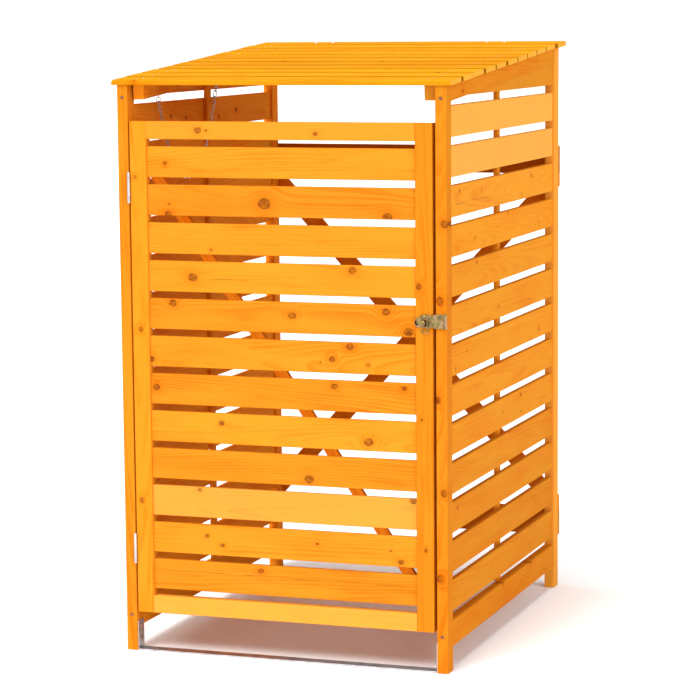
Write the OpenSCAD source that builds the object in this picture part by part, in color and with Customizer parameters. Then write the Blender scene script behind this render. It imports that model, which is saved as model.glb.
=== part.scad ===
// Slatted timber store for one wheeled bin: four posts, slatted sides and door, a braced open back
// and a boarded lid that slopes down to the front. +X is to the right seen from the front, the front
// faces -Y, +Z is up, and the origin lies on the floor under the middle of the outer box.

/* [Overall] */
// Width over the posts
body_w = 680; // [560:1:900]
// Depth from the front of the front posts to the back of the rear posts
body_d = 840; // [700:1:1050]
// Height of the lid's underside at the front of the posts
front_h = 1140; // [1000:1:1300]
// Height of the lid's underside at the back of the posts
rear_h = 1201; // [1150:1:1400]

/* [Timber] */
// Thickness of the posts, rails, stiles and rafters
frame_t = 22; // [18:1:30]
// Depth of the posts from front to back
post_d = 35; // [28:1:50]
// Height of the slats and of the back rails
slat_w = 61; // [45:1:75]
// Thickness of the slats
slat_t = 12; // [8:1:15]
// Chamfer on the long edges of the boards
edge_c = 1.2; // [0.5:0.1:2]

/* [Side panels] */
// Slats in each side panel
side_slats = 13; // [8:1:14]
// Height of the bottom rail's underside above the floor
side_rail_z = 47; // [20:1:90]
// Height of the bottom rail
side_rail_h = 51; // [35:1:70]
// Height of the sloping top rail, measured upright
top_rail_h = 33; // [24:1:50]
// Height of the straight lower edge of the gable board
gable_z = 1117; // [950:1:1120]
// Width of the upright batten in the middle of the panel
batten_w = 22; // [15:1:40]
// Thickness of the upright batten
batten_t = 8; // [5:1:15]

/* [Back] */
// Height of the upper rail's lower edge
back_upper_z = 922; // [700:1:1000]
// Height of the lower rail's lower edge
back_lower_z = 114; // [60:1:250]
// Width of the crossed braces
back_brace_w = 36; // [25:1:60]
// Height of the hidden head rail that carries the lid hinges
head_rail_h = 40; // [30:1:60]

/* [Door] */
// Height of the door's lower edge above the floor
door_z = 80; // [40:1:120]
// Height of the door's upper edge above the floor
door_top_z = 1069; // [900:1:1090]
// Gap between the door and the hinge post
door_hinge_gap = 3; // [3:0.5:5]
// Gap between the door and the latch post
door_latch_gap = 6; // [3:0.5:12]
// Width of the stiles
stile_w = 35; // [30:1:60]
// Height of the door's top and bottom rails
door_rail_h = 35; // [30:1:60]
// Slats in the door
door_slats = 12; // [7:1:12]
// Width of the diagonal brace behind the slats
door_brace_w = 22; // [18:1:40]
// Depth of the brace from its front face to its back face
door_brace_t = 12; // [8:1:20]
// Drop from the door's upper edge to the brace's upper end
brace_drop = 88; // [60:1:200]
// Rise from the door's lower edge to the brace's lower end
brace_rise = 77; // [60:1:200]

/* [Lid] */
// Boards across the lid
lid_boards = 11; // [8:1:13]
// Thickness of the lid boards
lid_t = 10; // [8:1:16]
// Gap between two lid boards
lid_gap = 10; // [2:0.5:14]
// Overhang of the lid beyond the posts at each side
lid_side = 13; // [8:1:40]
// Overhang of the lid beyond the front posts
lid_front = 5; // [3:1:40]
// Overhang of the lid behind the rear posts
lid_rear = 13; // [10:1:25]
// Height of the lid's rafters below the boards
rafter_h = 31; // [25:1:50]
// Gap between a rafter and the posts beside it
rafter_gap = 5; // [3:1:15]
// Distance from the front of the posts to the front ends of the rafters
rafter_set = 19; // [10:1:60]

/* [Hinges] */
// Length of every hinge along its pin
hinge_l = 60; // [45:1:80]
// Width of a hinge leaf from the wood's edge
leaf_w = 20; // [16:1:21]
// Thickness of the hinge leaves and of the hasp's fixed leaf
leaf_t = 1.2; // [0.8:0.1:1.3]
// Radius of the hinge pins
pin_r = 1.5; // [1.2:0.1:1.8]
// Radius of the hinge knuckles
knuckle_r = 3; // [2.6:0.1:3.4]
// Distance from the door's ends to the middle of its hinges
door_hinge_in = 131; // [60:1:200]
// Distance of the lid hinges from the middle
lid_hinge_x = 200; // [120:1:260]

/* [Hasp] */
// Height of the middle of the hasp
hasp_z = 690; // [400:1:850]
// Height of the hasp's leaves
hasp_h = 27; // [22:1:40]
// Length of the strap from its pin to its nose
strap_l = 58; // [52:1:70]
// Thickness of the strap
strap_t = 1.5; // [1:0.1:2]
// Distance from the strap's pin to the staple
staple_reach = 41; // [38:1:44]
// Thickness of the staple's eye plate
staple_t = 2.4; // [2:0.1:3]
// Radius of the padlock hole in the staple
eye_r = 3.5; // [2.5:0.1:3.6]
// Width of the drop ring over its wire's middle
ring_w = 12; // [11:0.5:14]
// Height of the drop ring over its wire's middle
ring_h = 31; // [29:0.5:34]
// Radius of the drop ring's wire
ring_wire_r = 1.1; // [0.8:0.1:1.2]

/* [Chain] */
// Distance between the chain's two screw eyes
chain_span = 308; // [200:1:400]
// Distance from the posts' front to the front screw eye
chain_start = 120; // [80:1:200]
// Drop of the chain's lowest link below its ends
chain_sag = 172; // [120:1:220]
// Links in the chain
chain_links = 41; // [35:2:45]
// Radius of the chain's wire
chain_wire_r = 0.9; // [0.7:0.1:1.1]
// Outer width of a link
link_w = 8; // [7:0.5:9]

/* [Threshold and fixings] */
// Depth of the steel strip on the floor
strip_d = 28; // [20:1:34]
// Thickness of the steel strip
strip_t = 2; // [1.5:0.5:4]
// Height of the strip's upturned ends
strip_tab_h = 60; // [40:1:75]
// Radius of the screw heads
screw_r = 3.5; // [2.5:0.1:4]
// Height of the screw heads
screw_h = 1.6; // [1:0.1:2.4]

/* [Hidden] */
$fn = 48;

// colours of the stained wood and the fittings
wood = "#f5a32f";
wood_inside = "#d9852c";
wood_lid = "#ffb01f";
zinc = "#b9bcc0";
plated = "#b5a86f";
dark_steel = "#2b2926";

// running clearance of a pin in its knuckle, and between two moving faces
pin_fit = 0.05;
play = 0.4;
// how far the hinge axes stand off the wood that the leaves are fixed to
axis_off = knuckle_r + play;

// the foremost and the rearmost points beyond the posts set the origin between them
eye_out = 10.5;
eye_outer_r = eye_r + 3;
front_reach = max(eye_out + eye_outer_r, lid_front);
rear_reach = max(slat_t + screw_h, lid_rear);
y_front = (front_reach - rear_reach - body_d) / 2;
y_back = y_front + body_d;
post_x = body_w / 2 - frame_t;
post_back_y = y_front + post_d;
rear_post_y = y_back - post_d;
panel_l = rear_post_y - post_back_y;
panel_mid_y = (post_back_y + rear_post_y) / 2;
slat_inset = (frame_t - slat_t) / 2;
slat_out_x = body_w / 2 - slat_inset;
slat_in_x = slat_out_x - slat_t;

// the lid's slope
slope = (rear_h - front_h) / body_d;
lid_angle = atan(slope);
function under_z(y) = front_h + (y - y_front) * slope;

// side panel spacing
side_rail_top = side_rail_z + side_rail_h;
side_gap = (gable_z - side_rail_top - side_slats * slat_w) / (side_slats + 1);
// where the sloping rail's lower edge crosses the gable board's lower edge
gable_y = max(post_back_y, y_front + (gable_z + top_rail_h - front_h) / slope);

// door frame
door_x0 = -post_x + door_hinge_gap;
door_x1 = post_x - door_latch_gap;
door_slat_x0 = door_x0 + stile_w;
door_slat_x1 = door_x1 - stile_w;
door_slat_z0 = door_z + door_rail_h;
door_slat_z1 = door_top_z - door_rail_h;
door_gap = (door_slat_z1 - door_slat_z0 - door_slats * slat_w) / (door_slats + 1);
door_axis = [-post_x + door_hinge_gap / 2, y_front - axis_off];
door_hinge_z = [door_z + door_hinge_in, door_top_z - door_hinge_in];
brace_y = y_front + slat_inset + slat_t;

// lid, measured from its hinge axis along the slope
lid_axis_y = y_back + axis_off;
lid_seat = 0.3;
lid_axis_z = under_z(lid_axis_y) - axis_off / cos(lid_angle) + lid_seat;
lid_back = (lid_rear - axis_off) / cos(lid_angle);
lid_l = (body_d + lid_front + lid_rear) / cos(lid_angle);
lid_board_w = (lid_l - (lid_boards - 1) * lid_gap) / lid_boards;
lid_w = body_w + 2 * lid_side;
rafter_x = post_x - rafter_gap - frame_t / 2;
rafter_y0 = lid_back - lid_l + (rafter_set + lid_front) / cos(lid_angle);
rafter_y1 = -axis_off - frame_t - 3;
leaf_room = leaf_t + 1.6;

// hasp
hasp_x = body_w / 2 - 1.5;
hasp_axis_y = y_front - axis_off;
strap_gap = 0.9;
bolt_h = 0.5;
strap_y = y_front - leaf_t - strap_gap - strap_t;
staple_x = hasp_x - staple_reach;
staple_z = hasp_z - 3;
staple_h = 2 * eye_outer_r;
ring_axis_z = hasp_z + 9;
ring_y = strap_y - play - ring_wire_r;
ring_corner = 3.5;

// chain: a hanging curve y = a (cosh(x / a) - 1) through both screw eyes
chain_x = -rafter_x;
chain_y0 = y_front + chain_start;
eye_drop = 14;
eye_ring_r = 5;
eye_wire_r = 0.9;
// the ring's lowest wire hangs in the middle of the end link's bend, so the chain can swing on it
eye_lift = eye_ring_r - 1.7;
function cosh(u) = (exp(u) + exp(-u)) / 2;
function sinh(u) = (exp(u) - exp(-u)) / 2;
function sag_of(a) = a * (cosh(chain_span / 2 / a) - 1);
function solve_a(low, high, n) = n == 0 ? (low + high) / 2
    : sag_of((low + high) / 2) > chain_sag ? solve_a((low + high) / 2, high, n - 1)
    : solve_a(low, (low + high) / 2, n - 1);
chain_a = solve_a(chain_span / 10, chain_span * 4, 40);
chain_half = chain_a * sinh(chain_span / 2 / chain_a);
link_pitch = 2 * chain_half / chain_links;
link_inner = link_pitch + 1;
// both ends of the chain lie on the rafter's sloping underside
function rafter_z(y) = under_z(y) + lid_seat - rafter_h / cos(lid_angle);
chain_end_z = rafter_z(chain_y0) - eye_drop;
chain_tilt = slope * chain_span;
function asinh(u) = ln(u + sqrt(u * u + 1));
function chain_y(s) = chain_a * asinh(s / chain_a);
function chain_point(s) = [chain_y0 + chain_span / 2 + chain_y(s),
    chain_end_z - chain_sag + sag_at(chain_y(s)) + chain_tilt * (chain_y(s) / chain_span + 0.5)];
function sag_at(y) = chain_a * (cosh(y / chain_a) - 1);

// outline of a board's end with chamfered corners
module board_end(w, h, c = edge_c) {
    polygon([[c, 0], [w - c, 0], [w, c], [w, h - c], [w - c, h], [c, h], [0, h - c], [0, c]]);
}
// board along X, Y or Z from its lowest corner
module board_x(p, l, w, h) { translate(p) rotate([90, 0, 90]) linear_extrude(l) board_end(w, h); }
module board_y(p, l, w, h) { translate(p + [0, l, 0]) rotate([90, 0, 0]) linear_extrude(l) board_end(w, h); }
module board_z(p, l, w, d) { translate(p) linear_extrude(l) board_end(w, d); }
// outline in the Y-Z plane, thick along X, and outline in the X-Z plane, thick along Y
module cut_x(x, t) { translate([x, 0, 0]) rotate([90, 0, 90]) linear_extrude(t) children(); }
module cut_y(y, t) { translate([0, y + t, 0]) rotate([90, 0, 0]) linear_extrude(t) children(); }
// the left-hand side is the mirror image of the right-hand side
module side(left) { mirror([left ? 1 : 0, 0, 0]) children(); }
// everything on the lid is placed from its hinge axis, with Y along the slope
module on_lid() { translate([0, lid_axis_y, lid_axis_z]) rotate([lid_angle, 0, 0]) children(); }

// screw head with a hexagon socket, standing along +Z
module screw_head(r = screw_r, h = screw_h) {
    difference() {
        cylinder(r1 = r, r2 = r * 0.8, h = h);
        translate([0, 0, h * 0.4]) cylinder(r = r * 0.4, h = h, $fn = 6);
    }
}

// front screws lie in counterbores, one into each side panel's top and bottom rail
post_screw_z = [side_rail_z + side_rail_h / 2, front_h - top_rail_h / 2 - 8];
screw_sink = screw_h + 0.4;
module post_screw_places() {
    for (z = post_screw_z) translate([post_x + frame_t / 2, y_front, z]) rotate([90, 0, 0]) children();
}
module front_post() {
    difference() {
        intersection() {
            board_z([post_x, y_front, 0], rear_h, frame_t, post_d);
            cut_x(post_x, frame_t)
                polygon([[y_front, 0], [post_back_y, 0], [post_back_y, under_z(post_back_y)],
                    [y_front, front_h]]);
        }
        post_screw_places() translate([0, 0, -screw_sink]) cylinder(r = screw_r + 0.3, h = screw_sink + 1);
    }
}
module rear_post() {
    intersection() {
        board_z([post_x, rear_post_y, 0], rear_h, frame_t, post_d);
        cut_x(post_x, frame_t)
            polygon([[rear_post_y, 0], [y_back, 0], [y_back, rear_h - leaf_room],
                [y_back - leaf_room, under_z(y_back - leaf_room)], [rear_post_y, under_z(rear_post_y)]]);
    }
}

// wide slats leave small gaps, and then the sloping top rail takes a corner off the highest one
module side_slat_set() {
    difference() {
        for (i = [0 : side_slats - 1])
            board_y([slat_in_x, post_back_y, side_rail_top + side_gap + i * (slat_w + side_gap)],
                panel_l, slat_t, slat_w);
        top_rail();
    }
}
module bottom_rail() {
    board_y([post_x, post_back_y, side_rail_z], panel_l, frame_t, side_rail_h);
}
module top_rail() {
    cut_x(post_x, frame_t)
        polygon([[post_back_y, under_z(post_back_y) - top_rail_h],
            [rear_post_y, under_z(rear_post_y) - top_rail_h], [rear_post_y, under_z(rear_post_y)],
            [post_back_y, under_z(post_back_y)]]);
}
module gable_board() {
    cut_x(slat_in_x, slat_t)
        polygon([[gable_y, gable_z], [rear_post_y, gable_z], [rear_post_y, under_z(rear_post_y) - top_rail_h],
            [gable_y, max(gable_z, under_z(gable_y) - top_rail_h)]]);
}
module mid_batten() {
    y0 = panel_mid_y - batten_w / 2;
    y1 = panel_mid_y + batten_w / 2;
    cut_x(slat_in_x - batten_t, batten_t)
        polygon([[y0, side_rail_top], [y1, side_rail_top], [y1, under_z(y1) - top_rail_h],
            [y0, under_z(y0) - top_rail_h]]);
}

module back_rail(z) { board_x([-body_w / 2, y_back, z], body_w, slat_t, slat_w); }
module back_head_rail() {
    y0 = y_back - frame_t;
    cut_x(-post_x, 2 * post_x)
        polygon([[y0, rear_h - head_rail_h], [y_back, rear_h - head_rail_h],
            [y_back, rear_h - leaf_room], [y0, under_z(y0) - leaf_room]]);
}
// the crossed braces fill the rectangle between the back rails and halve into each other
brace_box = [[-body_w / 2, back_lower_z + slat_w], [body_w / 2, back_upper_z]];
brace_run = [body_w, back_upper_z - back_lower_z - slat_w];
module brace_strip(rising, extra = 0) {
    tilt = atan(brace_run[1] / brace_run[0]) * (rising ? 1 : -1);
    translate([0, (brace_box[0][1] + brace_box[1][1]) / 2]) rotate(tilt)
        square([2 * norm(brace_run), back_brace_w + extra], center = true);
}
module back_brace(rising) {
    difference() {
        cut_y(y_back, slat_t) intersection() {
            brace_strip(rising);
            translate(brace_box[0]) square(brace_run);
        }
        cut_y(rising ? y_back - 1 : y_back + slat_t / 2, slat_t / 2 + 1) brace_strip(!rising);
    }
}
module door_stop() {
    board_z([post_x - frame_t / 2, y_front + frame_t + play, hasp_z + slat_w],
        2 * slat_w, frame_t / 2, slat_t);
}

module threshold_strip() {
    y = y_front + (post_d - strip_d) / 2;
    translate([-post_x, y, 0]) cube([2 * post_x, strip_d, strip_t]);
    for (left = [true, false]) side(left)
        translate([post_x - strip_t, y, 0]) cube([strip_t, strip_d, strip_tab_h]);
}

module frame_screws() {
    for (left = [true, false]) side(left) {
        post_screw_places() translate([0, 0, -screw_sink]) screw_head();
        for (z = [strip_tab_h * 0.4, strip_tab_h * 0.8])
            translate([post_x - strip_t, y_front + post_d / 2, z]) rotate([0, -90, 0]) screw_head();
        for (z = [back_upper_z, back_lower_z], dz = [slat_w * 0.25, slat_w * 0.75])
            translate([post_x + frame_t / 2, y_back + slat_t, z + dz]) rotate([-90, 0, 0]) screw_head();
    }
}

// half of a butt hinge along +Z with its pin's axis at the origin. The first child is the outline of the
// leaf and the second the outline of the bridge from the leaf to its own knuckles. One half has the two
// end knuckles and the other half the middle one.
module hinge_half(l, ends) {
    third = l / 3;
    spans = ends ? [[0, third - play / 2], [2 * third + play / 2, l]]
        : [[third + play / 2, 2 * third - play / 2]];
    difference() {
        union() {
            linear_extrude(l) children(0);
            for (s = spans) translate([0, 0, s[0]]) {
                cylinder(r = knuckle_r, h = s[1] - s[0]);
                linear_extrude(s[1] - s[0]) children(1);
            }
        }
        translate([0, 0, -1]) cylinder(r = pin_r + pin_fit, h = l + 2);
    }
}
// rectangle between two corners
module rect(x0, y0, x1, y1) { translate([x0, y0]) square([x1 - x0, y1 - y0]); }
module hinge_pin(l) {
    cylinder(r = pin_r, h = l);
    for (z = [-0.8, l]) translate([0, 0, z]) cylinder(r = pin_r * 1.5, h = 0.8);
}
module door_hinge_places() {
    for (z = door_hinge_z) translate([door_axis[0], door_axis[1], z - hinge_l / 2]) children();
}
// each leaf lies against its own wood, with the hinge gap shared between them
module door_hinge_leaf(x, ends) {
    hinge_half(hinge_l, ends) {
        rect(x, axis_off, x + leaf_t, axis_off + leaf_w);
        rect(x, 0, x + leaf_t, axis_off + 0.1);
    }
}
// lid hinges run along X: their outlines have Y across and Z up
module lid_hinge_places() {
    for (x = [-lid_hinge_x, lid_hinge_x]) translate([x - hinge_l / 2, 0, 0]) rotate([90, 0, 90]) children();
}
// fixed leaf: hangs down the head rail's back face
module lid_hinge_frame_leaves() {
    translate([0, lid_axis_y, lid_axis_z]) lid_hinge_places() hinge_half(hinge_l, true) {
        rect(-axis_off, -axis_off - leaf_w, leaf_t - axis_off, -axis_off);
        rect(-axis_off, -axis_off - 0.1, leaf_t - axis_off, 0);
    }
}
// moving leaf: lies against the underside of the rearmost lid board
module lid_hinge_lid_leaves() {
    on_lid() lid_hinge_places() hinge_half(hinge_l, false) {
        rect(-axis_off - leaf_w, axis_off - leaf_t, -axis_off, axis_off);
        rect(-axis_off - 0.1, axis_off - leaf_t, 0, axis_off);
    }
}

module hasp_places() { translate([hasp_x, y_front - axis_off, hasp_z - hasp_h / 2]) children(); }
module hasp_post_leaf() {
    hasp_places() hinge_half(hasp_h, true) {
        rect(post_x + 1 - hasp_x, axis_off - leaf_t, -axis_off, axis_off);
        rect(-axis_off - 0.1, axis_off - leaf_t, 0, axis_off);
    }
}
module hasp_pin() { hasp_places() hinge_pin(hasp_h); }
// strap outline from the knuckle to the nose, waisted where it crosses the door's edge
module strap_outline() {
    h = hasp_h / 2;
    difference() {
        polygon([[-axis_off, -h], [-22, -h], [-25, -h + 2.5], [-29, -h + 2.5], [-32, -h],
            [-strap_l + 10, -h + 1.5], [-strap_l + 2, -h + 8], [-strap_l, -3], [-strap_l, 3],
            [-strap_l + 2, h - 8], [-strap_l + 10, h - 1.5], [-32, h], [-29, h - 2.5], [-25, h - 2.5],
            [-22, h], [-axis_off, h]]);
        translate([-staple_reach - 3.9 - staple_t / 2, staple_z - hasp_z - staple_h / 2 - 1])
            square([5.4 + staple_t, staple_h + 2]);
    }
}
module hasp_strap() {
    knuckle = hasp_h / 3 - play;
    difference() {
        union() {
            translate([hasp_x, 0, hasp_z]) cut_y(strap_y, strap_t) strap_outline();
            translate([hasp_x, hasp_axis_y, hasp_z - knuckle / 2]) cylinder(r = knuckle_r, h = knuckle);
            translate([hasp_x - axis_off - 0.1, strap_y, hasp_z - knuckle / 2])
                cube([axis_off + 0.1, strap_t, knuckle]);
            translate([staple_x - 2.2, ring_y, ring_axis_z]) rotate([0, 90, 0]) cylinder(r = 2.6, h = 4.4);
        }
        translate([hasp_x, hasp_axis_y, hasp_z - hasp_h]) cylinder(r = pin_r + pin_fit, h = 2 * hasp_h);
        translate([staple_x - 4, ring_y, ring_axis_z]) rotate([0, 90, 0])
            cylinder(r = ring_wire_r + 0.15, h = 8);
    }
}
// a quarter of a wire bend in the X-Z plane, and a straight wire along X or Z
module wire_corner(x, z, turn) {
    translate([x, 0, z]) rotate([90, 0, 0]) rotate([0, 0, turn])
        rotate_extrude(angle = 90) translate([ring_corner, 0]) circle(r = ring_wire_r, $fn = 24);
}
module hasp_ring() {
    cx = ring_w / 2 - ring_corner;
    top = ring_axis_z - ring_corner;
    bottom = ring_axis_z - ring_h + ring_corner;
    translate([staple_x, ring_y, 0]) {
        wire_corner(cx, top, 0);
        wire_corner(-cx, top, 90);
        wire_corner(-cx, bottom, 180);
        wire_corner(cx, bottom, 270);
        for (z = [ring_axis_z, ring_axis_z - ring_h])
            translate([-cx, 0, z]) rotate([0, 90, 0]) cylinder(r = ring_wire_r, h = 2 * cx, $fn = 24);
        for (x = [-ring_w / 2, ring_w / 2])
            translate([x, 0, bottom]) cylinder(r = ring_wire_r, h = top - bottom, $fn = 24);
    }
}
module staple_plate() {
    translate([door_slat_x1 + 1, y_front - leaf_t, staple_z - 9]) cube([stile_w - 3, leaf_t, 18]);
}
module hasp_staple() {
    difference() {
        translate([staple_x - staple_t / 2, y_front - eye_out, staple_z]) union() {
            translate([0, 0, -staple_h / 2]) cube([staple_t, eye_out - leaf_t, staple_h]);
            rotate([0, 90, 0]) cylinder(r = eye_outer_r, h = staple_t);
        }
        translate([staple_x - staple_t, y_front - eye_out, staple_z]) rotate([0, 90, 0])
            cylinder(r = eye_r, h = 2 * staple_t);
    }
}
module staple_bolt() {
    translate([door_slat_x1 + 4, y_front - leaf_t, staple_z]) rotate([90, 0, 0])
        cylinder(r = 5.2, h = bolt_h);
}

module stile(x) { board_z([x, y_front, door_z], door_top_z - door_z, stile_w, frame_t); }
module door_rail(z) {
    board_x([door_slat_x0, y_front, z], door_slat_x1 - door_slat_x0, frame_t, door_rail_h);
}
// slats are numbered from the top
module door_slat(i) {
    board_x([door_slat_x0, y_front + slat_inset, door_slat_z1 - i * (slat_w + door_gap)],
        door_slat_x1 - door_slat_x0, slat_t, slat_w);
}
module door_brace() {
    top = door_top_z - brace_drop;
    bottom = door_z + brace_rise;
    half = door_brace_w / 2 / cos(atan((top - bottom) / (door_slat_x1 - door_slat_x0)));
    cut_y(brace_y, door_brace_t)
        polygon([[door_slat_x0, top - half], [door_slat_x1, bottom - half],
            [door_slat_x1, bottom + half], [door_slat_x0, top + half]]);
}

module lid_board_set() {
    on_lid() for (i = [0 : lid_boards - 1])
        board_x([-lid_w / 2, lid_back - lid_board_w - i * (lid_board_w + lid_gap), axis_off],
            lid_w, lid_board_w, lid_t);
}
module lid_rafter() {
    on_lid() board_y([rafter_x - frame_t / 2, rafter_y0, axis_off - rafter_h],
        rafter_y1 - rafter_y0, frame_t, rafter_h);
}
module lid_rear_screws() {
    on_lid() for (x = [-lid_hinge_x, lid_hinge_x], dx = [-hinge_l / 3, hinge_l / 3])
        translate([x + dx, -leaf_w / 2 - axis_off, axis_off + lid_t]) screw_head(h = 0.8);
}

// a screw eye: a ring across the rafter, whose lower wire passes through the chain's end link, on a
// short shank with a collar against the wood
module chain_eyes() {
    shank = eye_drop - eye_lift - eye_ring_r;
    for (y = [chain_y0, chain_y0 + chain_span]) translate([chain_x, y, rafter_z(y) - eye_drop + eye_lift]) {
        rotate([90, 0, 0]) rotate_extrude() translate([eye_ring_r, 0]) circle(r = eye_wire_r, $fn = 24);
        translate([0, 0, eye_ring_r]) cylinder(r = eye_wire_r * 1.4, h = shank - lid_seat, $fn = 24);
        translate([0, 0, eye_ring_r + shank - 2]) cylinder(r = eye_wire_r * 2.4, h = 1.2, $fn = 24);
    }
}
// one stadium-shaped link, long along X
module link() {
    bend = link_w / 2 - chain_wire_r;
    reach = link_inner / 2 + chain_wire_r - bend;
    for (turn = [0, 180]) rotate(turn) {
        translate([reach, 0, 0]) rotate(-90) rotate_extrude(angle = 180) translate([bend, 0])
            circle(r = chain_wire_r, $fn = 16);
        translate([-reach, bend, 0]) rotate([0, 90, 0]) cylinder(r = chain_wire_r, h = 2 * reach, $fn = 16);
    }
}
module chain() {
    for (i = [0 : chain_links - 1]) {
        s = (i + 0.5) * link_pitch - chain_half;
        a = chain_point(s - link_pitch / 2);
        b = chain_point(s + link_pitch / 2);
        translate([chain_x, (a[0] + b[0]) / 2, (a[1] + b[1]) / 2])
            rotate([atan2(b[1] - a[1], b[0] - a[0]), 0, 0]) rotate([0, 0, 90])
                rotate([i % 2 == 0 ? 90 : 0, 0, 0]) link();
    }
}

color(wood) side(true) front_post();  // front_left_post
color(wood) front_post();  // front_right_post
color(wood) side(true) rear_post();  // rear_left_post
color(wood) rear_post();  // rear_right_post
color(wood_inside) side(true) side_slat_set();  // left_side_slats
color(wood_inside) side_slat_set();  // right_side_slats
color(wood) side(true) mid_batten();  // left_mid_batten
color(wood) mid_batten();  // right_mid_batten
color(wood) side(true) top_rail();  // left_top_rail
color(wood) top_rail();  // right_top_rail
color(wood_inside) side(true) gable_board();  // left_gable_board
color(wood_inside) gable_board();  // right_gable_board
color(wood) side(true) bottom_rail();  // left_bottom_rail
color(wood) bottom_rail();  // right_bottom_rail
color(wood) back_head_rail();
color(wood_inside) back_rail(back_upper_z);  // back_upper_rail
color(wood_inside) back_rail(back_lower_z);  // back_lower_rail
color(wood) back_brace(false);  // back_brace_falling
color(wood) back_brace(true);  // back_brace_rising
color(wood) door_stop();
color(zinc) threshold_strip();
color(zinc) frame_screws();
color(zinc) door_hinge_places() door_hinge_leaf(-door_hinge_gap / 2, true);  // door_hinge_post_leaves
color(zinc) door_hinge_places() hinge_pin(hinge_l);  // door_hinge_pins
color(zinc) lid_hinge_frame_leaves();
color(zinc) translate([0, lid_axis_y, lid_axis_z]) lid_hinge_places() hinge_pin(hinge_l);  // lid_hinge_pins
color(plated) hasp_post_leaf();
color(plated) hasp_pin();
color(wood) stile(door_x0);  // door_left_stile
color(wood) stile(door_x1 - stile_w);  // door_right_stile
color(wood) door_rail(door_top_z - door_rail_h);  // door_top_rail
color(wood) door_rail(door_z);  // door_bottom_rail
color(wood) door_brace();
for (i = [1 : door_slats])
    color(wood_inside) door_slat(i);
color(zinc) door_hinge_places() door_hinge_leaf(door_hinge_gap / 2 - leaf_t, false);  // door_hinge_door_leaves
color(plated) staple_plate();
color(plated) hasp_staple();
color(dark_steel) staple_bolt();
color(wood_lid) lid_board_set();
color(wood) side(true) lid_rafter();  // lid_left_rafter
color(wood) lid_rafter();  // lid_right_rafter
color(zinc) lid_hinge_lid_leaves();
color(zinc) lid_rear_screws();
color(zinc) chain_eyes();
color(zinc) chain();
color(plated) hasp_strap();
color(plated) hasp_ring();
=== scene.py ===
"""Looks of the slatted timber bin store: stained pine boards, bright hinges, a yellow-plated hasp and a
fine chain. Every board keeps the outline of its CAD node, and gets eased edges and its own grain."""

import math
import random

import bmesh
import bpy
from mathutils import Matrix, Vector


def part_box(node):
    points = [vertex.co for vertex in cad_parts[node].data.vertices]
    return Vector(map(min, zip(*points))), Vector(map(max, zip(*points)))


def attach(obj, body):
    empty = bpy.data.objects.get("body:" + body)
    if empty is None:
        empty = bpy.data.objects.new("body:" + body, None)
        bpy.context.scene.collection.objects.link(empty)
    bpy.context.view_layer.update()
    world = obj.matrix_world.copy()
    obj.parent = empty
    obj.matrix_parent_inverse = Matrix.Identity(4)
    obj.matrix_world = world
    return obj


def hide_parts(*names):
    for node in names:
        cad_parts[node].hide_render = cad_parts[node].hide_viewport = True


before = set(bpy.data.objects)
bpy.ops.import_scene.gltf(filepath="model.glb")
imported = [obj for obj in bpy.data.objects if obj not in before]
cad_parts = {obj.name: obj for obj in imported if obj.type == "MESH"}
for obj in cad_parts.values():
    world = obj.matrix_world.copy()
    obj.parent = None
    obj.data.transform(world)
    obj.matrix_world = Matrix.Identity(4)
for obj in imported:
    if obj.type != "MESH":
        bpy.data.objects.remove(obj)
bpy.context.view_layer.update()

# ---------------------------------------------------------------------------------------------------
# camera: low and to the right of the front, with a long lens


def aim_camera(place, turn, tilt, roll, lens):
    """turn is clockwise from looking along +Y, tilt is downwards, both in degrees."""
    turn, tilt, roll = (math.radians(a) for a in (turn, tilt, roll))
    forward = Vector((-math.sin(turn) * math.cos(tilt), math.cos(turn) * math.cos(tilt), -math.sin(tilt)))
    level = Vector((math.cos(turn), math.sin(turn), 0))
    upright = level.cross(forward)
    right = level * math.cos(roll) + upright * math.sin(roll)
    up = upright * math.cos(roll) - level * math.sin(roll)
    data = bpy.data.cameras.new("camera")
    data.sensor_width = 36
    data.lens = lens
    camera = bpy.data.objects.new("camera", data)
    matrix = Matrix((right, up, -forward)).transposed().to_4x4()
    matrix.translation = place
    camera.matrix_world = matrix
    bpy.context.scene.collection.objects.link(camera)
    bpy.context.scene.camera = camera


aim_camera(Vector((1.803, -5.170, 1.282)), turn=19.25, tilt=7.39, roll=-0.49, lens=134.6)

# ---------------------------------------------------------------------------------------------------
# shader building


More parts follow.
